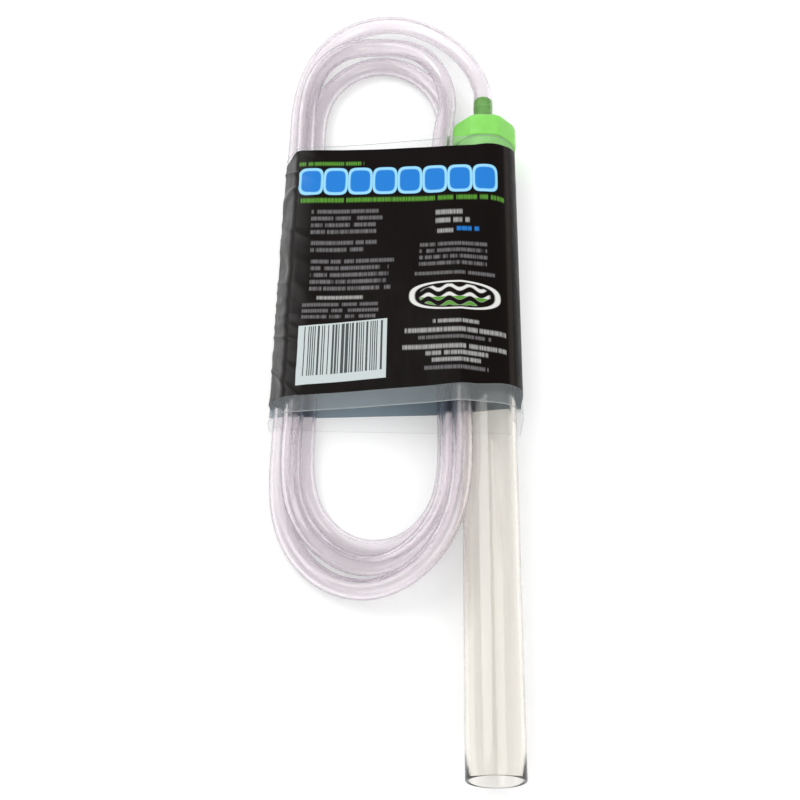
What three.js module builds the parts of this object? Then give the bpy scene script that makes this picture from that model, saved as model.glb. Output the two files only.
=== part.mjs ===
// Gravel vacuum siphon as it is sold: a clear gravel tube pushed into a moulded hose cap, the hose wound
// beside it in a long loop of three turns, and a printed film sleeve drawn tight round tube and loop.
// Millimetres, +Z up. It lies on its back, with +Y from the tube's mouth towards the cap.
import * as THREE from "three";

// Driving dimensions. A place is given as x from the tube's axis, along from the tube's mouth, z from below.
const TUBE = { outerRadius: 12.7, wall: 1.6, length: 304.8, axisZ: 16.5, rimRound: 0.5 };
const CAP = {
  skirtStart: 290,
  skirtRadius: 15.5,
  ringStart: 322,
  ringEnd: 336,
  ringRadius: 16.35,
  edgeRound: 2.6,
  flats: 8,
  cornerReach: 1.055,
  chamberEnd: 318,
  nippleEnd: 358,
  nippleRadius: 3.1,
  barbRadius: 3.6,
  barbs: 3,
  boreRadius: 2.3,
};
const HOSE = { radius: 4.75, sides: 10, stepDiameters: 2 };
const SLEEVE = { start: 165.5, end: 321.5, film: 0.4 };
const SLIDING_GAP = 0.2; // between the tube and its socket, on the radius
const GAP = 0.3; // between pieces that touch
const ROUND_SIDES = 48;
const END_REACH = 1.25; // how far a loop's end reaches, in half widths of the loop

// Where the hose's strands run at the loop's sides. It winds inwards from the cap, so the first turn is the
// outer one. On the left it and the third turn lie on the back panel and the second turn rides on both.
// On the right they stack up against the tube, the first one on the tube's shoulder, and inside the sleeve
// each strand drops to the next place down: the third one ends there.
const FLOOR_Z = SLEEVE.film + GAP + HOSE.radius;
const LEFT = {
  first: { byCap: { x: -98.3, z: FLOOR_Z }, byMouth: { x: -96.45, z: FLOOR_Z } },
  second: { byCap: { x: -93.4, z: 14 }, byMouth: { x: -91, z: 13.8 } },
  third: { byCap: { x: -88.4, z: FLOOR_Z }, byMouth: { x: -85.6, z: FLOOR_Z } },
};
const SHOULDER = { x: -13.3, z: 29.3 };
const RIGHT_HIGH = { x: -18.6, z: 15.3 };
const RIGHT_LOW = { x: -19.1, z: FLOOR_Z };
const CAP_HIGH = { x: -22, z: 15.3 };

// The origin is below the middle of the tube, cap and sleeve.
const sleeveLeft = LEFT.first.byCap.x - HOSE.radius - GAP - SLEEVE.film;
const axisX = -(sleeveLeft + CAP.ringRadius) / 2;
const mouthY = -CAP.nippleEnd / 2;

const clearPlastic = new THREE.MeshStandardMaterial({ color: 0xdcd7cd, roughness: 0.1, metalness: 0 });
const capPlastic = new THREE.MeshStandardMaterial({ color: 0x7fdc5f, roughness: 0.4, metalness: 0 });
const hosePlastic = new THREE.MeshStandardMaterial({ color: 0xd9d0dc, roughness: 0.15, metalness: 0 });
const printedFilm = new THREE.MeshStandardMaterial({ color: 0x17120f, roughness: 0.3, metalness: 0 });
const filmBack = new THREE.MeshStandardMaterial({ color: 0x61737c, roughness: 0.35, metalness: 0 });

function place(x, along, z) {
  return new THREE.Vector3(axisX + x, mouthY + along, z);
}

function namedMesh(name, geometry, material) {
  const mesh = new THREE.Mesh(geometry, material);
  mesh.name = name;
  return mesh;
}

// A turned piece on the tube's axis. The profile is a list of [radius, along] that closes on itself.
function turned(name, profile, material) {
  const points = [...profile, profile[0]].map(([radius, along]) => new THREE.Vector2(radius, along));
  const mesh = namedMesh(name, new THREE.LatheGeometry(points, ROUND_SIDES), material);
  mesh.position.copy(place(0, 0, TUBE.axisZ));
  return mesh;
}

function gravelTube() {
  const { outerRadius, wall, length, rimRound } = TUBE;
  const innerRadius = outerRadius - wall;
  return turned("gravel_tube", [
    [innerRadius, 0],
    [outerRadius - rimRound, 0],
    [outerRadius, rimRound],
    [outerRadius, length - rimRound],
    [outerRadius - rimRound, length],
    [innerRadius, length],
  ], clearPlastic);
}

// The barbs, from the nipple's root to its tip: each one steps out and tapers in towards the tip.
function barbProfile() {
  const pitch = (CAP.nippleEnd - CAP.ringEnd - 4) / CAP.barbs;
  const points = [];
  for (let barb = 0; barb < CAP.barbs; barb++) {
    const root = CAP.ringEnd + 3 + barb * pitch;
    points.push([CAP.nippleRadius, root]);
    points.push([CAP.barbRadius, root + 0.4]);
    points.push([CAP.nippleRadius, root + 0.8 * pitch]);
  }
  points.push([CAP.nippleRadius, CAP.nippleEnd - 0.6], [CAP.nippleRadius - 0.5, CAP.nippleEnd]);
  return points;
}

// The collar has flats, one towards each of +X, -X, +Z and -Z and one between each two, and cut corners.
function flattenCollar(cap) {
  const position = cap.geometry.attributes.position;
  const step = (2 * Math.PI) / CAP.flats;
  for (let index = 0; index < position.count; index += 1) {
    const [x, z] = [position.getX(index), position.getZ(index)];
    if (Math.hypot(x, z) > CAP.skirtRadius + 0.05) {
      const angle = Math.atan2(x, z);
      const reach = Math.min(1 / Math.cos(angle - step * Math.round(angle / step)), CAP.cornerReach);
      position.setX(index, x * reach);
      position.setZ(index, z * reach);
    }
  }
  cap.geometry.computeVertexNormals();
  return cap;
}

function hoseCap() {
  const socketRadius = TUBE.outerRadius + SLIDING_GAP;
  const stop = TUBE.length + GAP;
  const chamberRadius = TUBE.outerRadius - TUBE.wall;
  const { skirtStart, skirtRadius, ringStart, ringEnd, ringRadius, edgeRound, boreRadius } = CAP;
  const cap = turned("hose_cap", [
    [socketRadius, skirtStart],
    [skirtRadius - 0.6, skirtStart],
    [skirtRadius, skirtStart + 0.6],
    [skirtRadius, ringStart],
    [ringRadius - 0.4, ringStart],
    [ringRadius, ringStart + 0.5],
    [ringRadius, ringEnd - edgeRound],
    [ringRadius - 0.3 * edgeRound, ringEnd - 0.3 * edgeRound],
    [ringRadius - edgeRound, ringEnd],
    [CAP.barbRadius + 2.4, ringEnd + 0.8],
    [CAP.barbRadius + 0.6, ringEnd + 1.6],
    ...barbProfile(),
    [boreRadius, CAP.nippleEnd],
    [boreRadius, ringEnd - 1.5],
    [chamberRadius, CAP.chamberEnd],
    [chamberRadius, stop],
    [socketRadius, stop],
  ], capPlastic);
  return flattenCollar(cap);
}

// One end of a turn: half an ellipse from one side's x to the other's, whose tip is at along = tip.
// heights are its z at five even steps round it.
function loopEnd(from, to, tip, heights) {
  const middle = (from + to) / 2;
  const reach = (END_REACH * Math.abs(to - from)) / 2;
  const outwards = tip > TUBE.length / 2 ? 1 : -1;
  const steps = 2 * (heights.length - 1);
  return Array.from({ length: steps + 1 }, (_, step) => {
    const angle = (Math.PI * step) / steps;
    const low = heights[Math.floor(step / 2)];
    const high = heights[Math.ceil(step / 2)];
    const along = tip - outwards * reach * (1 - Math.sin(angle));
    return place(middle + (from - middle) * Math.cos(angle), along, (low + high) / 2);
  });
}

// A straight side of a turn: stops is a list of [strand, along].
function side(stops) {
  return stops.map(([strand, along]) => place(strand.x, along, strand.z));
}

function leftSide({ byCap, byMouth }) {
  const between = { x: (byCap.x + byMouth.x) / 2, z: (byCap.z + byMouth.z) / 2 };
  return side([[byCap, 335], [byCap, 315], [between, 245], [byMouth, 175]]);
}

// The lead, from the nipple's tip over the top of the loop to its left side.
const leadPoints = [
  [0, CAP.nippleEnd + GAP, TUBE.axisZ],
  [-0.6, 366, 16.7],
  [-3.6, 377, 16.4],
  [-9.4, 388.6, 15.6],
  [-17.6, 399.6, 14.2],
  [-28.6, 409.6, 12.6],
  [-42.6, 417, 11],
  [-57, 418.2, 9.8],
  [-71.8, 413.6, 8.4],
  [-85, 402, 7],
  [-93.6, 385.5, 6],
  [-97.9, 362, FLOOR_Z],
].map(([x, along, z]) => place(x, along, z));

const firstBottom = loopEnd(LEFT.first.byMouth.x, SHOULDER.x, 82.4, [FLOOR_Z, 6, 10.6, 20.6, SHOULDER.z - 0.7]);
const secondTop = loopEnd(-18.5, LEFT.second.byCap.x, 402.8, [15.2, 14.8, 8, 13.6, LEFT.second.byCap.z]);
const secondBottom = loopEnd(
  LEFT.second.byMouth.x, RIGHT_HIGH.x, 93.8, [LEFT.second.byMouth.z, 13, 9.4, 14.8, RIGHT_HIGH.z],
);
const thirdTop = loopEnd(RIGHT_LOW.x, LEFT.third.byCap.x, 392, Array(5).fill(FLOOR_Z));
const thirdBottom = loopEnd(LEFT.third.byMouth.x, RIGHT_LOW.x, 102.8, Array(5).fill(FLOOR_Z));

// The lead and the first turn, up to where it comes down off the tube's shoulder inside the sleeve.
function hoseLead() {
  const route = [
    ...leadPoints,
    ...leftSide(LEFT.first),
    ...firstBottom,
    ...side([[SHOULDER, 175], [SHOULDER, 215]]),
    place(-16, 250, 27),
  ];
  const curve = new THREE.CatmullRomCurve3(route, false, "centripetal");
  const section = new THREE.Shape();
  section.absarc(0, 0, HOSE.radius, 0, 2 * Math.PI);
  const steps = Math.round(curve.getLength() / (2 * HOSE.radius * HOSE.stepDiameters));
  const options = { steps, curveSegments: HOSE.sides, extrudePath: curve, bevelEnabled: false };
  return namedMesh("hose_lead", new THREE.ExtrudeGeometry(section, options), hosePlastic);
}

// A section of the coil: the outline round the two strands with centres a and b, waisted between them.
function coilSection(a, b, tangent) {
  const across = new THREE.Vector3().subVectors(b, a);
  across.addScaledVector(tangent, -across.dot(tangent)).normalize();
  const normal = new THREE.Vector3().crossVectors(tangent, across);
  const waist = Math.PI / 6;
  const sweep = 2 * (Math.PI - waist);
  const points = [];
  for (const [centre, middle] of [[b, 0], [a, Math.PI]]) {
    for (let step = 0; step <= HOSE.sides; step++) {
      const angle = middle - sweep / 2 + (sweep * step) / HOSE.sides;
      const point = centre.clone();
      point.addScaledVector(across, HOSE.radius * Math.cos(angle));
      points.push(point.addScaledVector(normal, HOSE.radius * Math.sin(angle)));
    }
  }
  return points;
}

// The second and third turns as one closed ring.
function hoseCoil() {
  const [outer, inner] = [
    [secondBottom, RIGHT_HIGH, CAP_HIGH, secondTop, LEFT.second],
    [thirdBottom, RIGHT_LOW, RIGHT_LOW, thirdTop, LEFT.third],
  ].map(([bottom, byTube, byCap, top, left]) => new THREE.CatmullRomCurve3([
    ...bottom,
    ...side([[byTube, 180], [byTube, 240], [byCap, 300], [byCap, CAP.ringEnd]]),
    ...top,
    ...leftSide(left),
  ], true, "centripetal"));
  const sections = 3 * outer.points.length;
  const positions = [];
  const faces = [];
  for (let index = 0; index < sections; index++) {
    const share = index / sections;
    const tangent = outer.getTangent(share).add(inner.getTangent(share)).normalize();
    const points = coilSection(outer.getPoint(share), inner.getPoint(share), tangent);
    const here = index * points.length;
    const next = ((index + 1) % sections) * points.length;
    points.forEach((point, corner) => {
      const following = (corner + 1) % points.length;
      positions.push(point.x, point.y, point.z);
      faces.push(here + corner, here + following, next + corner);
      faces.push(next + corner, here + following, next + following);
    });
  }
  const geometry = new THREE.BufferGeometry();
  geometry.setAttribute("position", new THREE.Float32BufferAttribute(positions, 3));
  geometry.setIndex(faces);
  geometry.computeVertexNormals();
  return namedMesh("hose_coil", geometry, hosePlastic);
}

// The taut line over circles {x, z, radius} that stand on z = base: the upper half of their convex outline.
function tautLine(circles, base) {
  const points = [];
  for (const { x, z, radius } of circles) {
    for (let step = 0; step <= 24; step++) {
      const angle = (Math.PI * step) / 24;
      points.push([x + radius * Math.cos(angle), z + radius * Math.sin(angle)]);
    }
  }
  const xs = points.map(([x]) => x);
  points.push([Math.min(...xs), base], [Math.max(...xs), base]);
  points.sort((p, q) => p[0] - q[0] || p[1] - q[1]);
  const line = [];
  for (const point of points) {
    while (line.length > 1 && !turnsRight(line.at(-2), line.at(-1), point)) line.pop();
    line.push(point);
  }
  return [...line, [Math.max(...xs), base]];
}

function turnsRight(p, q, r) {
  return (q[0] - p[0]) * (r[1] - p[1]) - (q[1] - p[1]) * (r[0] - p[0]) < -1e-6;
}

function filmPanel(name, outline, material) {
  const shape = new THREE.Shape(outline.map(([x, z]) => new THREE.Vector2(x, z)));
  const options = { depth: SLEEVE.end - SLEEVE.start, bevelEnabled: false };
  const mesh = namedMesh(name, new THREE.ExtrudeGeometry(shape, options), material);
  mesh.rotation.x = Math.PI / 2;
  mesh.position.copy(place(0, SLEEVE.end, 0));
  return mesh;
}

// The front panel is drawn tight over the loop's left side, the strand on the tube's shoulder and the cap.
function sleeveFrontPanel() {
  const held = [
    { ...LEFT.first.byCap, radius: HOSE.radius },
    { ...LEFT.second.byCap, radius: HOSE.radius },
    { ...SHOULDER, radius: HOSE.radius },
    { x: 0, z: TUBE.axisZ, radius: CAP.skirtRadius },
  ];
  const base = SLEEVE.film + GAP;
  const grown = (by) => held.map((circle) => ({ ...circle, radius: circle.radius + by }));
  const inside = tautLine(grown(GAP), base);
  const outside = tautLine(grown(GAP + SLEEVE.film), base);
  return filmPanel("sleeve_front_panel", [...outside, ...inside.reverse()], printedFilm);
}

function sleeveBackPanel() {
  const right = CAP.skirtRadius + GAP + SLEEVE.film;
  const outline = [[sleeveLeft, 0], [right, 0], [right, SLEEVE.film], [sleeveLeft, SLEEVE.film]];
  return filmPanel("sleeve_back_panel", outline, filmBack);
}

const siphon = new THREE.Group();
siphon.add(gravelTube(), hoseCap(), hoseLead(), hoseCoil(), sleeveFrontPanel(), sleeveBackPanel());

export default siphon;
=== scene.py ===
"""The looks of a gravel vacuum siphon as it is sold: a clear gravel tube in a moulded hose cap, the clear
hose wound beside it in three turns, and a printed film sleeve drawn tight round tube and loop.
Metres, +Z up."""

import math

import bpy
import numpy as np
from mathutils import Matrix, Vector, noise


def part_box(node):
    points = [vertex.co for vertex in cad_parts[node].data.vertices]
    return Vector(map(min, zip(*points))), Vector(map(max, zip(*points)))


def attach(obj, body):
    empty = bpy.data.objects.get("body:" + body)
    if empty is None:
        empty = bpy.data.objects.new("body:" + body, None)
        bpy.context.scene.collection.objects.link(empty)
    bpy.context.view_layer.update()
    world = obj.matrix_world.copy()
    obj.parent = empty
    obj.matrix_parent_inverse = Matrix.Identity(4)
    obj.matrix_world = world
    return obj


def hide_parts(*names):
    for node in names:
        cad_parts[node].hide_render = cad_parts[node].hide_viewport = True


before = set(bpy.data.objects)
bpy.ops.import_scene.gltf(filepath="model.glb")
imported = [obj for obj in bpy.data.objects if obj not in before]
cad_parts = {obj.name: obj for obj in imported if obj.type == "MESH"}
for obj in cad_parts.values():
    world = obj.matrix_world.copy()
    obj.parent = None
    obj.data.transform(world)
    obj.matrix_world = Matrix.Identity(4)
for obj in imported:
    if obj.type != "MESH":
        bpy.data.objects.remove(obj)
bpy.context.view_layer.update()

# ---------------------------------------------------------------- sizes
# A place called along, or named with START or END, is measured along the tube's axis from its mouth.
tube_low, tube_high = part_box("gravel_tube")
cap_low, cap_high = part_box("hose_cap")
film_low, film_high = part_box("sleeve_front_panel")

AXIS_X = (tube_low.x + tube_high.x) / 2
AXIS_Z = (tube_low.z + tube_high.z) / 2
MOUTH_Y = tube_low.y
TUBE_RADIUS = (tube_high.x - tube_low.x) / 2
TUBE_LENGTH = tube_high.y - tube_low.y
TUBE_WALL = 0.0016
SKIRT_RADIUS = 0.0155
CAP_START = cap_low.y - MOUTH_Y
CAP_END = cap_high.y - MOUTH_Y
CAP_FLAT_RADIUS = (cap_high.x - cap_low.x) / 2
RING_START = 0.322
RING_END = 0.336
CHAMBER_END = 0.318
NIPPLE_RADIUS = 0.0031
BARB_RADIUS = 0.0036
BARBS = 3

HOSE_RADIUS = 0.00475
HOSE_BORE = 0.003175
HOSE_ON_NIPPLE = 0.00515
HOSE_BORE_ON_NIPPLE = 0.00305  # the soft wall closes on the nipple between its barbs
HOSE_START = RING_END + 0.0026
HOSE_SIDES = 28
HOSE_STEP = 0.0025
HOSE_LIP = 0.0003
SWELL = 0.00006
SWELL_PITCH = 0.006

FILM = 0.00012
FILM_START = film_low.y - MOUTH_Y
FILM_END = film_high.y - MOUTH_Y
FILM_LENGTH = FILM_END - FILM_START
FILM_GAP = 0.0003
FILM_FOOT_Z = 0.0003
CAD_FILM = 0.0004
LYING_Z = CAD_FILM + FILM_GAP + HOSE_RADIUS  # where the hose's middle is when it lies on the back film
END_REACH = 1.25  # how far a loop's end reaches, in half widths of the loop
V_PER_METRE = 10  # the V of a swept or turned piece's UVs


def place(x, along, z):
    """A point given by x from the tube's axis, along from the tube's mouth and z from the floor."""
    return np.array([AXIS_X + x, MOUTH_Y + along, z])


# ---------------------------------------------------------------- camera
CAMERA_TARGET = place(-0.0415, 0.1747, AXIS_Z)
CAMERA_DISTANCE = 0.6079
CAMERA_ELEVATION = math.radians(61.3)
CAMERA_ROLL = math.radians(1)
CAMERA_LENS = 58.5
CAMERA_NEAR = 0.01


def make_camera():
    """The photo's view: down at the slope of the elevation, and rolled a little."""
    sin, cos = math.sin(CAMERA_ELEVATION), math.cos(CAMERA_ELEVATION)
    right, up, back = Vector((1, 0, 0)), Vector((0, sin, cos)), Vector((0, -cos, sin))
    rolled_right = right * math.cos(CAMERA_ROLL) + up * math.sin(CAMERA_ROLL)
    rolled_up = up * math.cos(CAMERA_ROLL) - right * math.sin(CAMERA_ROLL)
    camera = bpy.data.objects.new("camera", bpy.data.cameras.new("camera"))
    camera.data.lens = CAMERA_LENS
    camera.data.clip_start = CAMERA_NEAR
    turn = Matrix((rolled_right, rolled_up, back)).transposed()
    spot = Vector(CAMERA_TARGET) + back * CAMERA_DISTANCE
    camera.matrix_world = Matrix.LocRotScale(spot, turn, None)
    bpy.context.scene.collection.objects.link(camera)
    bpy.context.scene.camera = camera


make_camera()

# ---------------------------------------------------------------- node helpers


def add_node(tree, kind, inputs=(), **settings):
    """A node with its settings, and its inputs given as values or as the sockets that feed them."""
    made = tree.nodes.new(kind)
    for name, value in settings.items():
        setattr(made, name, value)
    for name, value in dict(inputs).items():
        if isinstance(value, bpy.types.NodeSocket):
            tree.links.new(value, made.inputs[name])
        else:
            made.inputs[name].default_value = value
    return made


def calc(tree, operation, *values):
    return add_node(tree, "ShaderNodeMath", dict(enumerate(values)), operation=operation).outputs[0]


def mix_colour(tree, factor, first, second):
    """Input 6 of a colour Mix node is its first colour and input 7 its second."""
    inputs = {0: factor, 6: first, 7: second}
    return add_node(tree, "ShaderNodeMix", inputs, data_type="RGBA").outputs[2]


def noise_at(tree, vector, scale, detail=2.0, stretch=None):
    if stretch:
        vector = add_node(tree, "ShaderNodeMapping", {"Vector": vector, "Scale": stretch}).outputs[0]
    inputs = {"Vector": vector, "Scale": scale, "Detail": detail}
    return add_node(tree, "ShaderNodeTexNoise", inputs).outputs[0]


def ranged(tree, value, low, high, from_low=0.0, from_high=1.0):
    """low where value is from_low or less, high where it is from_high or more, and even between them."""
    inputs = {0: value, 1: from_low, 2: from_high, 3: low, 4: high}
    return add_node(tree, "ShaderNodeMapRange", inputs).outputs[0]


def bumped(tree, height, distance):
    return add_node(tree, "ShaderNodeBump", {"Height": height, "Distance": distance}).outputs[0]


def new_material(name):
    """A material and its tree, emptied but for the output."""
    material = bpy.data.materials.new(name)
    material.use_nodes = True
    tree = material.node_tree
    tree.nodes.clear()
    output = tree.nodes.new("ShaderNodeOutputMaterial")
    return material, tree, output


def object_place(tree):
    return add_node(tree, "ShaderNodeTexCoord").outputs["Object"]


def uv_place(tree):
    return add_node(tree, "ShaderNodeUVMap", uv_map="UVMap").outputs[0]


# ---------------------------------------------------------------- materials


def clear_plastic(name, tint, absorbed, density, ior, roughness, streak_scale, streak_depth):
    """Clear plastic with fine lines along its length, as extrusion leaves them. U runs round, V along."""
    material, tree, output = new_material(name)
    lines = noise_at(tree, uv_place(tree), scale=1.0, detail=3.0, stretch=(streak_scale, 4.0, 1.0))
    clouds = noise_at(tree, object_place(tree), scale=90.0, detail=3.0)
    height = calc(tree, "ADD", lines, calc(tree, "MULTIPLY", clouds, 0.35))
    shader = add_node(tree, "ShaderNodeBsdfPrincipled", {
        "Base Color": (*tint, 1),
        "Transmission Weight": 1.0,
        "IOR": ior,
        "Roughness": ranged(tree, clouds, roughness * 0.6, roughness * 1.5, 0.3, 0.7),
        "Normal": bumped(tree, height, streak_depth),
    })
    tree.links.new(shader.outputs[0], output.inputs["Surface"])
    inside = add_node(tree, "ShaderNodeVolumeAbsorption", {"Color": (*absorbed, 1), "Density": density})
    tree.links.new(inside.outputs[0], output.inputs["Volume"])
    return material


CAP_GREEN = (0.22, 0.66, 0.1, 1)
CAP_PALER_GREEN = (0.26, 0.73, 0.13, 1)
# A paler green for the painted highlight on the cap's convex edges.
CAP_EDGE_HIGHLIGHT_GREEN = (0.5, 0.9, 0.36, 1)


def cap_plastic():
    """Green moulded plastic: a satin skin with a faint orange peel, convex edges made paler by a painted
    highlight, and fine scuffs.
    """
    material, tree, output = new_material("cap_plastic")
    spot = object_place(tree)
    clouds = noise_at(tree, spot, scale=160.0, detail=4.0)
    peel = noise_at(tree, spot, scale=1500.0)
    scuffs = noise_at(tree, spot, scale=420.0, detail=5.0, stretch=(1.0, 0.15, 1.0))
    height = calc(tree, "ADD", peel, calc(tree, "MULTIPLY", scuffs, 0.5))
    edge = add_node(tree, "ShaderNodeNewGeometry").outputs["Pointiness"]
    # Painted highlight: the convex edges are mixed towards a paler green, as if they caught the light.
    painted_edge_highlight = ranged(tree, edge, 0.0, 1.0, 0.52, 0.6)
    colour = mix_colour(tree, ranged(tree, clouds, 0, 1, 0.35, 0.65), CAP_GREEN, CAP_PALER_GREEN)
    colour = mix_colour(tree, calc(tree, "MULTIPLY", painted_edge_highlight, 0.35), colour, CAP_EDGE_HIGHLIGHT_GREEN)
    shader = add_node(tree, "ShaderNodeBsdfPrincipled", {
        "Base Color": colour,
        "Roughness": ranged(tree, scuffs, 0.3, 0.5, 0.3, 0.7),
        "Subsurface Weight": 0.25,
        "Subsurface Radius": (0.3, 1.0, 0.2),
        "Subsurface Scale": 0.002,
        "IOR": 1.49,
        "Normal": bumped(tree, height, 0.00005),
    })
    tree.links.new(shader.outputs[0], output.inputs["Surface"])
    return material


# ---------------------------------------------------------------- mesh helpers


def new_object(name, vertices, faces, uvs, materials, face_materials=None):
    """A smooth mesh object. uvs holds one (u, v) for each corner of each face, in order."""
    mesh = bpy.data.meshes.new(name)
    mesh.from_pydata([tuple(v) for v in vertices], [], faces)
    layer = mesh.uv_layers.new(name="UVMap")
    layer.data.foreach_set("uv", np.array(uvs, np.float32).ravel())
    for material in materials:
        mesh.materials.append(material)
    if face_materials is not None:
        mesh.polygons.foreach_set("material_index", face_materials)
    mesh.shade_smooth()
    mesh.update()
    made = bpy.data.objects.new(name, mesh)
    bpy.context.scene.collection.objects.link(made)
    return made


def closed_tube(name, rings, ring_uvs, material):
    """A body swept through closed rings of points, the last ring joined to the first."""
    count, sides = len(rings), len(rings[0])
    vertices = [point for ring in rings for point in ring]
    faces, uvs = [], []
    for ring in range(count):
        after = (ring + 1) % count
        here, there = ring_uvs[ring], ring_uvs[after]
        for side in range(sides):
            beside = (side + 1) % sides
            corners = ((ring, side), (after, side), (after, beside), (ring, beside))
            faces.append(tuple(row * sides + column for row, column in corners))
            left, right = side / sides, (side + 1) / sides
            uvs += [(left, here), (left, there), (right, there), (right, here)]
    return new_object(name, vertices, faces, uvs, [material])


def turned(name, profile, sides, material, shaping=None):
    """A piece turned on the tube's axis from a closed profile of (radius, along)."""
    rings = []
    for radius, along in profile:
        ring = []
        for side in range(sides):
            angle = 2 * math.pi * side / sides
            reach = shaping(radius, along, angle) if shaping else radius
            ring.append(place(reach * math.sin(angle), along, AXIS_Z + reach * math.cos(angle)))
        rings.append(ring)
    return closed_tube(name, rings, [along * V_PER_METRE for _, along in profile], material)


def arc(centre, radius, start, end, steps):
    """Points of a round edge in a profile. Its angles are in degrees, 0 outwards and 90 along the axis."""
    points = []
    for step in range(steps + 1):
        angle = math.radians(start + (end - start) * step / steps)
        points.append((centre[0] + radius * math.cos(angle), centre[1] + radius * math.sin(angle)))
    return points


# ---------------------------------------------------------------- hose


# Where the strands run, as (x, z): each turn's left side at the cap's end and at the mouth's end, then the
# right sides. The first turn's right side climbs over the tube's shoulder, and the others lie beside it.
FIRST = {"by_cap": (-0.0983, LYING_Z), "by_mouth": (-0.09645, LYING_Z)}
SECOND = {"by_cap": (-0.0934, 0.014), "by_mouth": (-0.091, 0.0138)}
THIRD = {"by_cap": (-0.0884, LYING_Z), "by_mouth": (-0.0856, LYING_Z)}
SHOULDER = (-0.0133, 0.0293)
RIGHT_HIGH = (-0.0186, 0.0153)
RIGHT_LOW = (-0.0191, LYING_Z)
CAP_HIGH = (-0.022, 0.0153)
LEFT_SIDE_ALONG = (0.335, 0.315, 0.245, 0.175)
# The free stretch from the nipple over the top to the first turn's left side, as (x, along, z).
LEAD = [
    (0, 0.3583, AXIS_Z),
    (-0.0006, 0.366, 0.0167),
    (-0.0036, 0.377, 0.0164),
    (-0.0094, 0.3886, 0.0156),
    (-0.0176, 0.3996, 0.0142),
    (-0.0286, 0.4096, 0.0126),
    (-0.0426, 0.417, 0.011),
    (-0.057, 0.4182, 0.0098),
    (-0.0718, 0.4136, 0.0084),
    (-0.085, 0.402, 0.007),
    (-0.0936, 0.3855, 0.006),
    (-0.0979, 0.362, LYING_Z),
]


def loop_end(start, end, tip, heights):
    """One end of a turn: half an ellipse from one side's x to the other's, with its tip at along = tip."""
    middle, reach = (start + end) / 2, END_REACH * abs(end - start) / 2
    outwards = 1 if tip > TUBE_LENGTH / 2 else -1
    steps = 2 * (len(heights) - 1)
    points = []
    for step in range(steps + 1):
        angle = math.pi * step / steps
        height = (heights[step // 2] + heights[(step + 1) // 2]) / 2
        along = tip - outwards * reach * (1 - math.sin(angle))
        points.append(place(middle + (start - middle) * math.cos(angle), along, height))
    return points


def side_run(stops):
    """Points of a side from its stops, each an (x, z) and an along."""
    return [place(x, along, z) for (x, z), along in stops]


def left_side(turn):
    between = tuple((a + b) / 2 for a, b in zip(turn["by_cap"], turn["by_mouth"]))
    stops = (turn["by_cap"], turn["by_cap"], between, turn["by_mouth"])
    return side_run(zip(stops, LEFT_SIDE_ALONG))


def hose_route():
    """The hose's route: off the nipple, over the top, and three turns inwards to its end in the sleeve."""
    first_bottom = [LYING_Z, 0.006, 0.0106, 0.0206, SHOULDER[1] - 0.0007]
    second_top = [0.0152, 0.0148, 0.008, 0.0136, SECOND["by_cap"][1]]
    second_bottom = [SECOND["by_mouth"][1], 0.013, 0.0094, 0.0148, RIGHT_HIGH[1]]
    flat = [LYING_Z] * 5
    return [
        place(0, HOSE_START, AXIS_Z),
        place(0, HOSE_START + 0.01, AXIS_Z),
        *[place(*point) for point in LEAD],
        *left_side(FIRST),
        *loop_end(FIRST["by_mouth"][0], SHOULDER[0], tip=0.0824, heights=first_bottom),
        *side_run([(SHOULDER, 0.175), (SHOULDER, 0.215), ((-0.0172, 0.0235), 0.262)]),
        *side_run([(CAP_HIGH, 0.3), (CAP_HIGH, 0.336)]),
        *loop_end(-0.0185, SECOND["by_cap"][0], tip=0.4028, heights=second_top),
        *left_side(SECOND),
        *loop_end(SECOND["by_mouth"][0], RIGHT_HIGH[0], tip=0.0938, heights=second_bottom),
        *side_run([(RIGHT_HIGH, 0.18), (RIGHT_HIGH, 0.212), (RIGHT_LOW, 0.275), (RIGHT_LOW, 0.336)]),
        *loop_end(RIGHT_LOW[0], THIRD["by_cap"][0], tip=0.392, heights=flat),
        *left_side(THIRD),
        *loop_end(THIRD["by_mouth"][0], RIGHT_LOW[0], tip=0.1028, heights=flat),
        *side_run([(RIGHT_LOW, 0.18), (RIGHT_LOW, 0.21)]),
    ]


def catmull_rom(points, steps=14):
    """A centripetal Catmull-Rom curve through the points."""
    points = np.array(points)
    before, after = 2 * points[0] - points[1], 2 * points[-1] - points[-2]
    ends = np.vstack([before, points, after])
    curve = []
    for p0, p1, p2, p3 in zip(ends, ends[1:], ends[2:], ends[3:]):
        t01, t12, t23 = (math.sqrt(np.linalg.norm(b - a)) for a, b in ((p0, p1), (p1, p2), (p2, p3)))
        leave = t12 * ((p1 - p0) / t01 - (p2 - p0) / (t01 + t12) + (p2 - p1) / t12)
        reach = t12 * ((p2 - p1) / t12 - (p3 - p1) / (t12 + t23) + (p3 - p2) / t23)
        for t in np.arange(steps) / steps:
            cubic = (2 * p1 - 2 * p2 + leave + reach) * t**3
            curve.append(cubic + (3 * p2 - 3 * p1 - 2 * leave - reach) * t**2 + leave * t + p1)
    return np.array([*curve, points[-1]])


def lengths_along(line):
    """How far along the line each of its points is."""
    return np.r_[0, np.cumsum(np.linalg.norm(np.diff(line, axis=0), axis=1))]


def evenly_spaced(line, count):
    """The line as count points that are evenly spaced along it."""
    along = lengths_along(line)
    at = np.linspace(0, along[-1], count)
    return np.stack([np.interp(at, along, column) for column in line.T], axis=1)


def relaxed(line, held, rounds):
    """The line smoothed: each round moves a point half of the way to the middle between its neighbours, but
    for the held points at each end."""
    line = line.copy()
    end = len(line) - held
    inner, before, after = (slice(held + shift, end + shift) for shift in (0, -1, 1))
    for _ in range(rounds):
        line[inner] += 0.25 * (line[before] + line[after] - 2 * line[inner])
    return line


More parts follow.
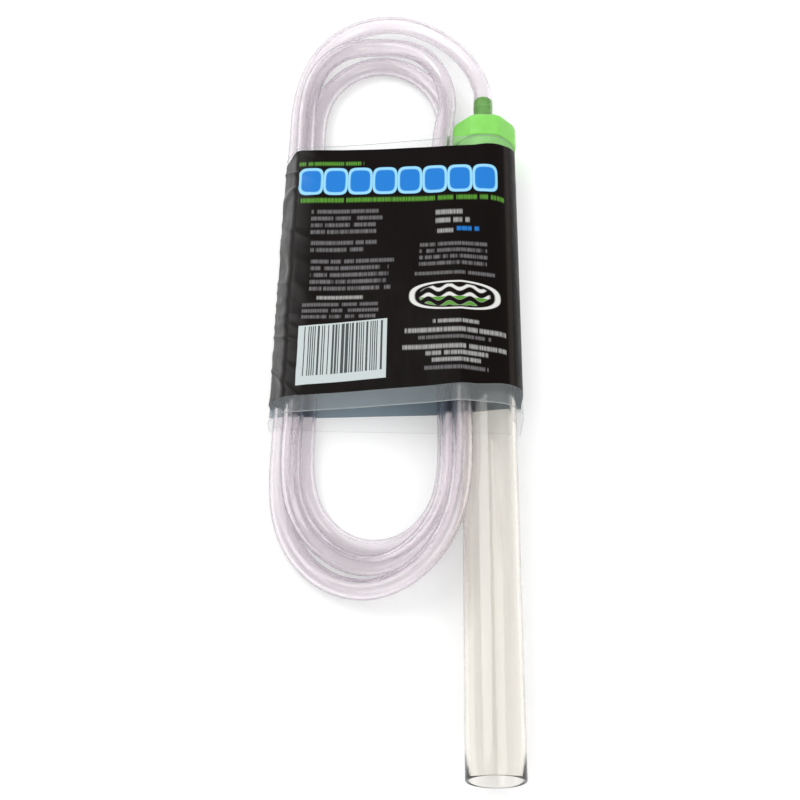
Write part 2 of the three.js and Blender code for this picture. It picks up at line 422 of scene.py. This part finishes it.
def smooth_step(value, low, high):
    """0 up to low and 1 from high on, with a soft rise between them."""
    share = min(1.0, max(0.0, (value - low) / (high - low)))
    return share * share * (3 - 2 * share)


def hose_frames(path):
    """For each point of the path, two directions across it that turn as little as possible."""
    tangents = np.gradient(path, axis=0)
    tangents /= np.linalg.norm(tangents, axis=1)[:, None]
    across = np.cross(tangents[0], (0, 0, 1.0))
    across /= np.linalg.norm(across)
    frames = []
    for tangent in tangents:
        across = across - tangent * (across @ tangent)
        across /= np.linalg.norm(across)
        frames.append((across, np.cross(tangent, across)))
    return frames


def make_hose(material):
    """A hollow tube: its rings run out along the bore and back along the outside."""
    line = catmull_rom(hose_route())
    count = round(lengths_along(line)[-1] / HOSE_STEP) + 1
    path = relaxed(evenly_spaced(line, count), held=12, rounds=12)
    path[:, 2] = np.maximum(path[:, 2], LYING_Z)  # it lies on the back film, not in it
    frames = hose_frames(path)
    angles = 2 * np.pi * np.arange(HOSE_SIDES) / HOSE_SIDES
    nipple_length = CAP_END - HOSE_START

    def radii(index):
        """The outside's and the bore's. On the nipple the outside is wider and swells over each barb."""
        along = index * HOSE_STEP
        eased = 1 - smooth_step(along, nipple_length - 0.002, nipple_length + 0.007)
        swell = SWELL * math.sin(2 * math.pi * along / SWELL_PITCH) * eased
        lip = HOSE_LIP if index in (0, count - 1) else 0
        outer = HOSE_RADIUS + (HOSE_ON_NIPPLE - HOSE_RADIUS) * eased + swell
        bore = HOSE_BORE + (HOSE_BORE_ON_NIPPLE - HOSE_BORE) * eased
        return outer - lip, bore + lip

    def ring(index, radius):
        across, over = frames[index]
        return [path[index] + radius * (across * math.cos(a) + over * math.sin(a)) for a in angles]

    inner = [ring(index, radii(index)[1]) for index in range(count)]
    outer = [ring(index, radii(index)[0]) for index in reversed(range(count))]
    ring_uvs = [index * HOSE_STEP * V_PER_METRE for index in range(count)]
    hose = closed_tube("hose", inner + outer, ring_uvs + ring_uvs[::-1], material)
    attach(hose, "hose_and_cap")
    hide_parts("hose_lead", "hose_coil")
    tuple(path[0])
    [tuple(p) for p in path]


hose_plastic = clear_plastic(
    "hose_vinyl", tint=(0.985, 0.975, 0.98), absorbed=(0.83, 0.74, 0.82), density=130, ior=1.52,
    roughness=0.05, streak_scale=60.0, streak_depth=0.00006,
)
make_hose(hose_plastic)

# ---------------------------------------------------------------- gravel tube
TUBE_SIDES = 128
TUBE_STEPS = 24
TUBE_UNEVENNESS = 0.00004


def make_gravel_tube(material):
    """A plain tube with softly rounded rims."""
    outer, inner, lip = TUBE_RADIUS, TUBE_RADIUS - TUBE_WALL, 0.0006
    mid_steps = [TUBE_LENGTH * step / TUBE_STEPS for step in range(1, TUBE_STEPS)]
    profile = [
        *arc((inner + lip, lip), lip, 180, 270, 4),
        *arc((outer - lip, lip), lip, 270, 360, 4),
        *[(outer, along) for along in mid_steps],
        *arc((outer - lip, TUBE_LENGTH - lip), lip, 0, 90, 4),
        *arc((inner + lip, TUBE_LENGTH - lip), lip, 90, 180, 4),
        *[(inner, along) for along in reversed(mid_steps)],
    ]

    def out_of_round(radius, along, angle):
        """An extruded tube isn't quite round, and its wall isn't quite even."""
        wave = math.cos(2 * angle + 0.6) + 0.5 * math.cos(3 * angle + 9 * along)
        return radius - TUBE_UNEVENNESS * (1.5 + wave)

    tube = turned("gravel_tube_clear", profile[::-1], TUBE_SIDES, material, out_of_round)
    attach(tube, "gravel_tube")
    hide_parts("gravel_tube")


tube_plastic = clear_plastic(
    "tube_plastic", tint=(0.985, 0.98, 0.965), absorbed=(0.84, 0.79, 0.68), density=125, ior=1.5,
    roughness=0.03, streak_scale=40.0, streak_depth=0.00005,
)
make_gravel_tube(tube_plastic)

# ---------------------------------------------------------------- hose cap
CAP_SIDES = 160
COLLAR_FLATS = 8
COLLAR_CORNER = 1.055  # how far a corner of the collar reaches, in radii of its flats
CORNER_SOFTENING = 0.0002
COLLAR_FOOT = 0.01  # from this radius on, the collar's end face begins to take the flats' outline


def barb_profile():
    """The nipple's barbs, each steep on the cap's side with a long slope towards the tip."""
    pitch = (CAP_END - RING_END - 0.004) / BARBS
    points = []
    for barb in range(BARBS):
        root = RING_END + 0.003 + barb * pitch
        points += [
            (NIPPLE_RADIUS, root),
            (BARB_RADIUS - 0.0002, root + 0.00015),
            (BARB_RADIUS, root + 0.0005),
            (NIPPLE_RADIUS + 0.0002, root + 0.7 * pitch),
            (NIPPLE_RADIUS, root + 0.85 * pitch),
        ]
    return points


def collar_shape(radius, along, angle):
    """The collar's outside has softly rounded flats that fade out inwards over its two faces; the rest of
    the cap is round."""
    if not RING_START - 0.001 < along < RING_END + 0.001 or radius < COLLAR_FOOT:
        return radius
    step = 2 * math.pi / COLLAR_FLATS
    off_flat = (angle + step / 2) % step - step / 2
    flat = radius / math.cos(off_flat)
    corner = radius * COLLAR_CORNER
    shaped = min(flat, corner) - CORNER_SOFTENING * smooth_step(flat, corner * 0.97, corner * 1.03)
    if along > (RING_START + RING_END) / 2:
        share = smooth_step(radius, COLLAR_FOOT, CAP_FLAT_RADIUS)
    else:
        share = smooth_step(radius, SKIRT_RADIUS, SKIRT_RADIUS + 0.0004)
    return radius + (shaped - radius) * share


def make_cap(material):
    """Socket skirt, collar and barbed nipple in one moulding, with its socket, chamber and bore."""
    socket, chamber, bore = TUBE_RADIUS + 0.0002, TUBE_RADIUS - TUBE_WALL, 0.0023
    ring = CAP_FLAT_RADIUS
    round_start, round_end = 0.0008, 0.0026
    stop = TUBE_LENGTH + 0.0003
    profile = [
        (socket, CAP_START + 0.0004),
        (socket + 0.0004, CAP_START),
        *arc((SKIRT_RADIUS - 0.0006, CAP_START + 0.0006), 0.0006, 270, 360, 3),
        (SKIRT_RADIUS, CAP_START + 0.01),
        (SKIRT_RADIUS, RING_START - 0.0006),
        *arc((SKIRT_RADIUS + 0.0006, RING_START - 0.0006), 0.0006, 180, 90, 3)[1:],
        *arc((ring - round_start, RING_START + round_start), round_start, 270, 360, 4),
        (ring, (RING_START + RING_END) / 2),
        *arc((ring - round_end, RING_END - round_end), round_end, 0, 80, 7),
        (ring * 0.6, RING_END + 0.0004),
        (BARB_RADIUS + 0.0024, RING_END + 0.0009),
        (BARB_RADIUS + 0.0006, RING_END + 0.0018),
        *barb_profile(),
        (NIPPLE_RADIUS, CAP_END - 0.0006),
        (NIPPLE_RADIUS - 0.0005, CAP_END),
        (bore, CAP_END),
        (bore, RING_END - 0.0015),
        (chamber, CHAMBER_END),
        (chamber, stop),
        (socket, stop),
    ]
    cap = turned("hose_cap_moulded", profile[::-1], CAP_SIDES, material, collar_shape)
    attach(cap, "hose_and_cap")
    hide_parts("hose_cap")


make_cap(cap_plastic())

# ---------------------------------------------------------------- film sleeve
ARC_POINTS = 61
COLUMNS, ROWS = 260, 150  # the film's grid of points, across and along


def taut_line(circles, base):
    """The taut line over circles (x, z, radius), with its feet on z = base at both sides."""
    points = []
    for x, z, radius in circles:
        for angle in np.linspace(0, math.pi, ARC_POINTS):
            points.append((x + radius * math.cos(angle), z + radius * math.sin(angle)))
    low, high = min(x for x, _ in points), max(x for x, _ in points)
    points += [(low, base), (high, base)]
    line = []
    for point in sorted(points):
        while len(line) > 1 and not turns_right(line[-2], line[-1], point):
            line.pop()
        line.append(point)
    return np.array([*line, (high, base)])


def turns_right(p, q, r):
    return (q[0] - p[0]) * (r[1] - p[1]) - (q[1] - p[1]) * (r[0] - p[0]) < -1e-9


def film_line(strands):
    """The front film's taut line over the strands and the cap's skirt, a small gap off them."""
    off = FILM_GAP + FILM
    circles = [(x, z, HOSE_RADIUS + off) for x, z in strands]
    return taut_line([*circles, (0, AXIS_Z, SKIRT_RADIUS + off)], FILM_FOOT_Z)


mouth_line = film_line([FIRST["by_cap"], SECOND["by_cap"], SHOULDER])
cap_line = film_line([FIRST["by_cap"], SECOND["by_cap"]])
mouth_profile = evenly_spaced(mouth_line, COLUMNS)
cap_profile = evenly_spaced(cap_line, COLUMNS)
FILM_WIDTH = lengths_along(mouth_line)[-1]


def row_along(row):
    return FILM_START + FILM_LENGTH * row / (ROWS - 1)


def film_point(column, along):
    """The film's middle surface before wrinkles: over the strand on the tube's shoulder at the mouth's end
    and straight from the loop to the cap at the cap's end."""
    by_mouth = 1 - smooth_step(along, 0.205, 0.3)
    return mouth_profile[column] * by_mouth + cap_profile[column] * (1 - by_mouth)


# How far the film's creases stand out or sag in.
LEFT_FOLD = 0.0009
SPAN_SAG = 0.0011
FLANK_FOLD = 0.0003
BACK_RIPPLE = 0.00025
BACK_LOW_Z = 0.0001


def crease(across, along):
    """How far the film stands out from its taut surface, in metres: sharp folds that run in from the left
    edge, a soft sag over the free span and long folds down the right flank."""
    left = math.exp(-((across - 0.016) / 0.013) ** 2)
    folds = noise.noise((along * 95 + across * 60, across * 25, 0.3))
    sharp = 1 - min(1.0, abs(folds) * 4)
    span = smooth_step(across, 0.03, 0.045) * (1 - smooth_step(across, 0.085, 0.1))
    sag = noise.noise((across * 30 + along * 14, along * 20, 4.1)) * 0.5 + 0.5
    right = smooth_step(across, 0.118, 0.126)
    flank = noise.noise((across * 160, along * 12, 7.7)) * 0.5 + 0.5
    return LEFT_FOLD * left * sharp - SPAN_SAG * span * sag + FLANK_FOLD * right * flank


def film_sheet(name, point_at, uv_at, materials, outside_at, flipped=False):
    """A thin solid sheet over a grid: point_at(i, j) gives the middle point and its outward normal for
    column i of row j. The inner side has material 0, the rim 1 and the outer side outside_at(i, j)."""
    outer, inner, uvs_at = [], [], []
    for j in range(ROWS):
        for i in range(COLUMNS):
            point, normal = point_at(i, j)
            outer.append(point + normal * FILM / 2)
            inner.append(point - normal * FILM / 2)
            uvs_at.append(uv_at(i, j))
    count = len(outer)
    faces, indices = [], []

    def add(a, b, c, d, material):
        faces.append((d, c, b, a) if flipped else (a, b, c, d))
        indices.append(material)

    for j in range(ROWS - 1):
        for i in range(COLUMNS - 1):
            a, b = j * COLUMNS + i, j * COLUMNS + i + 1
            c, d = b + COLUMNS, a + COLUMNS
            add(a, b, c, d, outside_at(i, j))
            add(a + count, d + count, c + count, b + count, 0)
    rim = [j * COLUMNS for j in range(ROWS)]
    rim += [(ROWS - 1) * COLUMNS + i for i in range(1, COLUMNS)]
    rim += [j * COLUMNS + COLUMNS - 1 for j in reversed(range(ROWS - 1))]
    rim += reversed(range(1, COLUMNS - 1))
    for here, there in zip(rim, rim[1:] + rim[:1]):
        add(here, there, there + count, here + count, 1)
    uvs = [uvs_at[corner % count] for face in faces for corner in face]
    return new_object(name, outer + inner, faces, uvs, materials, indices)


def make_sleeve_front(materials):
    taut = np.array([[film_point(i, row_along(j)) for i in range(COLUMNS)] for j in range(ROWS)])

    def uv_at(i, j):
        return i / (COLUMNS - 1) * FILM_WIDTH, row_along(j)

    def point_at(i, j):
        across, along = uv_at(i, j)
        x, z = taut[j, i]
        step = taut[j, min(i + 1, COLUMNS - 1)] - taut[j, max(i - 1, 0)]
        normal = np.array([-step[1], 0, step[0]]) / math.hypot(*step)
        return place(x, along, z) + normal * crease(across, along), normal

    def outside_at(i, j):
        across, along = uv_at(i, j)
        return 1 + REGIONS.index(region_of(across / MILLIMETRE, along / MILLIMETRE))

    front = film_sheet("sleeve_front", point_at, uv_at, materials, outside_at)
    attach(front, "film_sleeve")
    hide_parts("sleeve_front_panel")


def make_sleeve_back(materials):
    low, width = float(film_low.x), float(film_high.x) - float(film_low.x)
    down = np.array([0, 0, -1.0])

    def uv_at(i, j):
        return i / (COLUMNS - 1) * width, row_along(j)

    def point_at(i, j):
        x, along = low + width * i / (COLUMNS - 1), row_along(j)
        ripple = 0.5 + 0.5 * noise.noise((x * 60, along * 22, 2.2))
        return np.array([x, MOUTH_Y + along, BACK_LOW_Z + BACK_RIPPLE * ripple]), down

    back = film_sheet("sleeve_back", point_at, uv_at, materials, lambda i, j: 1, flipped=True)
    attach(back, "film_sleeve")
    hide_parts("sleeve_back_panel")


# ---------------------------------------------------------------- print
# Places on the print are in millimetres: across from the sleeve's left foot and along from the tube's mouth.
MILLIMETRE = 0.001
PRINT_TILT = -0.06  # how much the print's rows fall towards the right
BLOCK_BLUE = (0.02, 0.2, 0.62, 1)
PALE_BLUE = (0.3, 0.66, 0.95, 1)
LEAF_GREEN = (0.1, 0.3, 0.035, 1)
TEXT_GREY = (0.15, 0.145, 0.15, 1)
TEXT_WHITE = (0.36, 0.36, 0.35, 1)
PANEL_WHITE = (0.55, 0.61, 0.61, 1)
PANEL_BAR = (0.07, 0.08, 0.08, 1)
EMBLEM_WHITE = (0.72, 0.72, 0.7, 1)
BLACK_INK = (0.004, 0.0025, 0.002, 1)
SEAM_INK = (0.035, 0.028, 0.025, 1)
SLATE = (0.34, 0.42, 0.48, 1)
CLEAR_HAZE = (0.5, 0.53, 0.53, 1)
SEAM = (127.5, 130.5)
# Blocks of bars that stand for lines of text: left, right, top, rows, pitch, how ragged the right side is
# and colour.
TEXT_BLOCKS = [
    (29, 66, 281.7, 4, 4.2, 0.12, TEXT_GREY),
    (29.5, 65, 262.3, 2, 4.2, 0.25, TEXT_GREY),
    (30, 72.5, 251, 5, 4.0, 0.25, TEXT_GREY),
    (34, 57, 229.2, 1, 3.6, 0.0, TEXT_WHITE),
    (27, 68, 225.6, 3, 3.45, 0.12, TEXT_GREY),
    (92, 111, 276.4, 2, 5.2, 0.3, TEXT_WHITE),
    (92, 101, 264.4, 1, 4.6, 0.0, TEXT_WHITE),
    (102, 114, 264.9, 1, 4.6, 0.0, BLOCK_BLUE),
    (84, 118.5, 256.4, 4, 3.9, 0.06, TEXT_GREY),
    (82, 121, 238.8, 1, 3.6, 0.0, TEXT_GREY),
    (91, 113, 210.5, 1, 3.6, 0.0, TEXT_WHITE),
    (77.5, 126, 206.9, 1, 4.4, 0.0, TEXT_WHITE),
    (84, 118.5, 202.1, 1, 3.4, 0.0, TEXT_GREY),
    (76.5, 126, 197.8, 1, 4.2, 0.0, TEXT_WHITE),
    (87.5, 117, 193.5, 1, 4.0, 0.0, TEXT_WHITE),
    (90.5, 113.5, 189.6, 1, 3.8, 0.0, TEXT_WHITE),
    (87, 117, 185.6, 1, 3.6, 0.0, TEXT_GREY),
    (21, 55, 312.8, 1, 4.2, 0.0, LEAF_GREEN),
    (21.5, 127, 289.7, 1, 5.0, 0.0, LEAF_GREEN),
]
INK_BLUR = 0.2
CUT_END = 0.5  # how wide the stretch is where the film's cut ends catch the light
SOFT_EDGE = 0.25  # how wide the blur of an edge in the print is


def step_up(tree, value, at, soft=SOFT_EDGE):
    """0 below at and 1 above it, with a soft edge."""
    return ranged(tree, value, 0.0, 1.0, at - soft / 2, at + soft / 2)


def step_down(tree, value, at, soft=SOFT_EDGE):
    return calc(tree, "SUBTRACT", 1.0, step_up(tree, value, at, soft))


def within(tree, value, low, high, soft=SOFT_EDGE):
    return product(tree, step_up(tree, value, low, soft), step_down(tree, value, high, soft))


def product(tree, *values):
    result = values[0]
    for value in values[1:]:
        result = calc(tree, "MULTIPLY", result, value)
    return result


def combined(tree, x, y, z=0.0):
    return add_node(tree, "ShaderNodeCombineXYZ", {0: x, 1: y, 2: z}).outputs[0]


def print_place(tree):
    """Across and along in millimetres."""
    parts = add_node(tree, "ShaderNodeSeparateXYZ", {0: uv_place(tree)})
    return [calc(tree, "DIVIDE", parts.outputs[axis], MILLIMETRE) for axis in (0, 1)]


def print_level(tree, across, along, start, tilt=PRINT_TILT):
    """A place's level in a tilted print: along with the rows' fall since across = start taken out."""
    fall = calc(tree, "MULTIPLY", calc(tree, "SUBTRACT", across, start), tilt)
    return calc(tree, "SUBTRACT", along, fall)


def roundness(tree, x, y, power):
    """How far (x, y) is from the middle of a rounded shape that reaches 1 at its edge."""
    parts = [calc(tree, "POWER", calc(tree, "ABSOLUTE", value), power) for value in (x, y)]
    return calc(tree, "ADD", *parts)


def text_bars(tree, across, along, block, seed):
    """Rows of short bars with gaps between them, like lines of text seen from too far to read."""
    left, right, top, rows, pitch, ragged, _ = block
    level = print_level(tree, across, along, left)
    down = calc(tree, "DIVIDE", calc(tree, "SUBTRACT", top, level), pitch)
    row = calc(tree, "FLOOR", down)
    height = calc(tree, "FRACT", down)
    row_seed = calc(tree, "ADD", row, seed * 17.3)
    chance = add_node(tree, "ShaderNodeTexWhiteNoise", {"W": row_seed}, noise_dimensions="1D").outputs[0]
    end = calc(tree, "SUBTRACT", right, calc(tree, "MULTIPLY", chance, ragged * (right - left)))
    reach = calc(tree, "SUBTRACT", end, across)

    def pieces(per_millimetre, per_row):
        x = calc(tree, "MULTIPLY", across, per_millimetre)
        y = calc(tree, "MULTIPLY", row, per_row)
        return noise_at(tree, combined(tree, x, y, seed), scale=1.0, detail=1.0)

    words, strokes = pieces(0.34, 3.7), pieces(1.7, 5.1)
    return product(
        tree,
        within(tree, down, 0.0, float(rows), 0.02),
        within(tree, height, 0.16, 0.7, 0.22),
        step_up(tree, across, left),
        step_up(tree, reach, 0.0),
        ranged(tree, words, 0.0, 1.0, 0.36, 0.42),
        ranged(tree, strokes, 0.35, 1.0, 0.38, 0.56),
    )


def round_blocks(tree, across, along):
    """A row of eight rounded blocks, as a mask with their outlines and a mask without them."""
    left, right, low, high, count, power = 21.5, 123.5, 291.0, 308.2, 8, 4.0
    pitch = (right - left) / count
    level = print_level(tree, across, along, left)
    cell = calc(tree, "FRACT", calc(tree, "DIVIDE", calc(tree, "SUBTRACT", across, left), pitch))
    x = calc(tree, "MULTIPLY", calc(tree, "SUBTRACT", cell, 0.5), 2.0)
    y = calc(tree, "DIVIDE", calc(tree, "SUBTRACT", level, (low + high) / 2), (high - low) / 2)
    far = roundness(tree, x, y, power)
    row = within(tree, across, left, right)
    whole = product(tree, row, step_down(tree, far, 1.0, 0.2))
    inner = product(tree, row, step_down(tree, far, 0.42, 0.16))
    return whole, inner


def bar_panel(tree, across, along):
    """A white panel with upright bars of uneven width, as a mask for the panel and one for the bars. The
    bars follow a golden-ratio step with a slow sway, so that they don't repeat."""
    left, right, low, high, slot_width = 26, 69, 179.6, 212.2, 0.5
    level = print_level(tree, across, along, left, tilt=0.02)
    panel = product(tree, within(tree, across, left, right), within(tree, level, low, high))
    slots = calc(tree, "FLOOR", calc(tree, "DIVIDE", across, slot_width))
    sway = calc(tree, "MULTIPLY", calc(tree, "SINE", calc(tree, "MULTIPLY", slots, 0.53)), 0.4)
    chance = calc(tree, "FRACT", calc(tree, "ADD", calc(tree, "MULTIPLY", slots, 0.618), sway))
    bars = product(
        tree, calc(tree, "GREATER_THAN", chance, 0.5),
        within(tree, across, left + 3, right - 1.6), within(tree, level, low + 4.6, high - 0.8),
    )
    return panel, bars


def wave_emblem(tree, across, along):
    """Three waves in an oval ring, a sign for water, as a mask for it all and one for its green part."""
    middle_x, middle_y, half_width, half_height, power = 101.5, 223.0, 22.0, 8.2, 2.6
    level = print_level(tree, across, along, middle_x)
    x = calc(tree, "DIVIDE", calc(tree, "SUBTRACT", across, middle_x), half_width)
    y = calc(tree, "DIVIDE", calc(tree, "SUBTRACT", level, middle_y), half_height)
    far = roundness(tree, x, y, power)
    ring = within(tree, far, 0.72, 1.0, 0.08)
    wave = calc(tree, "MULTIPLY", calc(tree, "SINE", calc(tree, "MULTIPLY", across, 0.62)), 0.16)
    lifted = calc(tree, "ADD", calc(tree, "ADD", y, wave), 1.0)
    folded = calc(tree, "FRACT", calc(tree, "MULTIPLY", lifted, 1.6))
    waves = product(tree, within(tree, folded, 0.25, 0.65, 0.12), step_down(tree, far, 0.5, 0.1))
    low = calc(tree, "LESS_THAN", y, -0.12)
    return calc(tree, "MAXIMUM", ring, waves), product(tree, waves, low)


# A material can hold only so many nodes, so the print is made in regions, each with a material of its own.
# Their borders run between the blocks. The levels are those of the print's left side.
REGIONS = ("title", "upper_left", "lower_left", "upper_right", "lower_right")
PRINT_LEFT = 21
TITLE_LEVEL = 284.2
COLUMN_BORDER = 75.5
LEFT_LEVEL = 231
RIGHT_LEVEL = 238.3


def region_of(across, along):
    level = along - PRINT_TILT * (across - PRINT_LEFT)
    if level > TITLE_LEVEL:
        return "title"
    if across < COLUMN_BORDER:
        return "upper_left" if level > LEFT_LEVEL else "lower_left"
    return "upper_right" if level > RIGHT_LEVEL else "lower_right"


def printed_colour(tree, across, along, ground, region):
    """The ground with the print of one region on it."""
    colour = ground
    for seed, block in enumerate(TEXT_BLOCKS):
        left, _, top, rows, pitch = block[:5]
        if region_of(left, top - rows * pitch / 2) == region:
            bars = text_bars(tree, across, along, block, float(seed))
            colour = mix_colour(tree, bars, colour, block[-1])
    if region == "title":
        whole, inner = round_blocks(tree, across, along)
        colour = mix_colour(tree, whole, colour, PALE_BLUE)
        colour = mix_colour(tree, inner, colour, BLOCK_BLUE)
    if region == "lower_left":
        panel, bars = bar_panel(tree, across, along)
        colour = mix_colour(tree, panel, colour, PANEL_WHITE)
        colour = mix_colour(tree, product(tree, bars, panel), colour, PANEL_BAR)
    if region == "lower_right":
        emblem, green = wave_emblem(tree, across, along)
        colour = mix_colour(tree, emblem, colour, EMBLEM_WHITE)
        colour = mix_colour(tree, green, colour, LEAF_GREEN)
    return colour


def ink_edge(tree, across, stops):
    """An edge of the ink as its place along, from stops (across, along) joined by straight lines."""
    low, high = stops[0][0], stops[-1][0]
    heights = [height for _, height in stops]
    least, most = min(heights), max(heights)
    curve = add_node(tree, "ShaderNodeValToRGB", {0: ranged(tree, across, 0.0, 1.0, low, high)})
    shares = [(where - low) / (high - low) for where, _ in stops]
    ramp = curve.color_ramp
    ramp.elements[1].position = shares[1]
    for share in shares[2:]:
        ramp.elements.new(share)
    for element, height in zip(ramp.elements, heights):
        level = (height - least) / (most - least)
        element.color = (level, level, level, 1)
    return ranged(tree, curve.outputs[0], least, most)


def film_surface(name, ground, edges, haze, region=None):
    """Gloss film that is clear past the edges of its ink. edges gives the ink's lower and upper edge as
    lists of (across, along) in millimetres, haze how much of the clear film shows, and region the print."""
    material, tree, output = new_material(name)
    across, along = print_place(tree)
    low_edge, high_edge = (ink_edge(tree, across, stops) for stops in edges)
    above = step_up(tree, calc(tree, "SUBTRACT", along, low_edge), 0.0, INK_BLUR)
    below = step_up(tree, calc(tree, "SUBTRACT", high_edge, along), 0.0, INK_BLUR)
    inked = product(tree, above, below)
    spot = object_place(tree)
    clouds = noise_at(tree, spot, scale=60.0, detail=3.0)
    scuffs = noise_at(tree, spot, scale=300.0, detail=4.0, stretch=(1.0, 0.3, 1.0))
    height = calc(tree, "ADD", clouds, calc(tree, "MULTIPLY", scuffs, 0.2))
    paler = (*(1.5 * part for part in ground[:3]), 1)
    colour = mix_colour(tree, ranged(tree, clouds, 0.0, 0.5), ground, paler)
    if region:
        seam = calc(tree, "MULTIPLY", within(tree, across, *SEAM, 1.2), 0.6)
        colour = mix_colour(tree, seam, colour, SEAM_INK)
        colour = printed_colour(tree, across, along, colour, region)
    colour = mix_colour(tree, inked, CLEAR_HAZE, colour)
    low_end, high_end = FILM_START / MILLIMETRE + CUT_END, FILM_END / MILLIMETRE - CUT_END
    cut = calc(tree, "SUBTRACT", 1.0, within(tree, along, low_end, high_end, CUT_END))
    clear = calc(tree, "ADD", haze, calc(tree, "MULTIPLY", cut, 3 * haze))
    shader = add_node(tree, "ShaderNodeBsdfPrincipled", {
        "Base Color": colour,
        "Roughness": ranged(tree, scuffs, 0.28, 0.42, 0.3, 0.7),
        "Specular IOR Level": ranged(tree, across, 0.4, 0.05, 14, 30),
        "Alpha": calc(tree, "MAXIMUM", inked, clear),
        "Normal": bumped(tree, height, 0.0004),
    })
    tree.links.new(shader.outputs[0], output.inputs["Surface"])
    return material


FRONT_EDGES = (
    [(0, 177), (18, 174.1), (95, 174.4), (112, 174.6), (137, 177.4), (159, 178)],
    [(0, 318), (19, 320), (67, 317.3), (112, 315.4), (128, 316.6), (140, 320), (159, 320)],
)
BACK_EDGES = ([(0, 172.6), (18, 172.8), (84, 175.8), (120, 179.8)], [(0, 318), (120, 317)])

front_inside = film_surface("film_front_inside", SLATE, FRONT_EDGES, 0.1)
front_outside = [
    film_surface(f"film_front_{region}", BLACK_INK, FRONT_EDGES, 0.12, region) for region in REGIONS
]
back_outside = film_surface("film_back_outside", BLACK_INK, BACK_EDGES, 0.02)
back_inside = film_surface("film_back_inside", SLATE, BACK_EDGES, 0.02)
make_sleeve_front([front_inside, *front_outside])
make_sleeve_back([back_inside, back_outside])

# ---------------------------------------------------------------- floor and light
FLOOR_HALF = 3.0
FLOOR_GREY = (0.78, 0.78, 0.78, 1)
FLOOR_PALER_GREY = (0.8, 0.8, 0.8, 1)
WALL_GREY = (0.5, 0.5, 0.51, 1)
WHITE = (1, 1, 1, 1)


def make_floor():
    """A white light table, so that shadows stay faint and clear plastic is lit from below too."""
    half = FLOOR_HALF
    corners = [(-half, -half, 0), (half, -half, 0), (half, half, 0), (-half, half, 0)]
    material, tree, output = new_material("floor")
    grain = noise_at(tree, object_place(tree), scale=4.0)
    colour = mix_colour(tree, grain, FLOOR_GREY, FLOOR_PALER_GREY)
    shader = add_node(tree, "ShaderNodeBsdfPrincipled", {
        "Base Color": colour, "Roughness": 0.9, "Specular IOR Level": 0.1,
        "Emission Color": WHITE, "Emission Strength": 0.35,
    })
    tree.links.new(shader.outputs[0], output.inputs["Surface"])
    uvs = [(0, 0), (1, 0), (1, 1), (0, 1)]
    floor = new_object("floor", corners, [(0, 1, 2, 3)], uvs, [material])


def make_light(name, spot, size, power):
    """A round light that faces the middle of the object."""
    light = bpy.data.objects.new(name, bpy.data.lights.new(name, "AREA"))
    light.data.shape = "DISK"
    light.data.size = size
    light.data.energy = power
    light.location = spot
    light.rotation_euler = (-Vector(spot)).to_track_quat("-Z", "Y").to_euler()
    bpy.context.scene.collection.objects.link(light)


def make_world():
    """A soft white room with greyer walls, which give clear plastic its outlines."""
    world = bpy.data.worlds.new("studio")
    bpy.context.scene.world = world
    world.use_nodes = True
    tree = world.node_tree
    tree.nodes.clear()
    direction = add_node(tree, "ShaderNodeTexCoord").outputs["Generated"]
    height = add_node(tree, "ShaderNodeSeparateXYZ", {0: direction}).outputs[2]
    colour = mix_colour(tree, ranged(tree, height, 0, 1, 0.0, 0.55), WALL_GREY, WHITE)
    background = add_node(tree, "ShaderNodeBackground", {"Color": colour, "Strength": 0.85})
    output = tree.nodes.new("ShaderNodeOutputWorld")
    tree.links.new(background.outputs[0], output.inputs[0])


make_floor()
make_world()
make_light("key", spot=(-0.6, 0.4, 1.0), size=0.9, power=5)
make_light("fill", spot=(0.8, -0.6, 0.9), size=1.0, power=3)

# Light passes the walls of many clear layers on its way through the loop and the sleeve.
WALL_BOUNCES = 36
FILM_BOUNCES = 24
scene = bpy.context.scene
scene.view_settings.view_transform = "Standard"
scene.cycles.max_bounces = WALL_BOUNCES
scene.cycles.transmission_bounces = WALL_BOUNCES
scene.cycles.transparent_max_bounces = FILM_BOUNCES
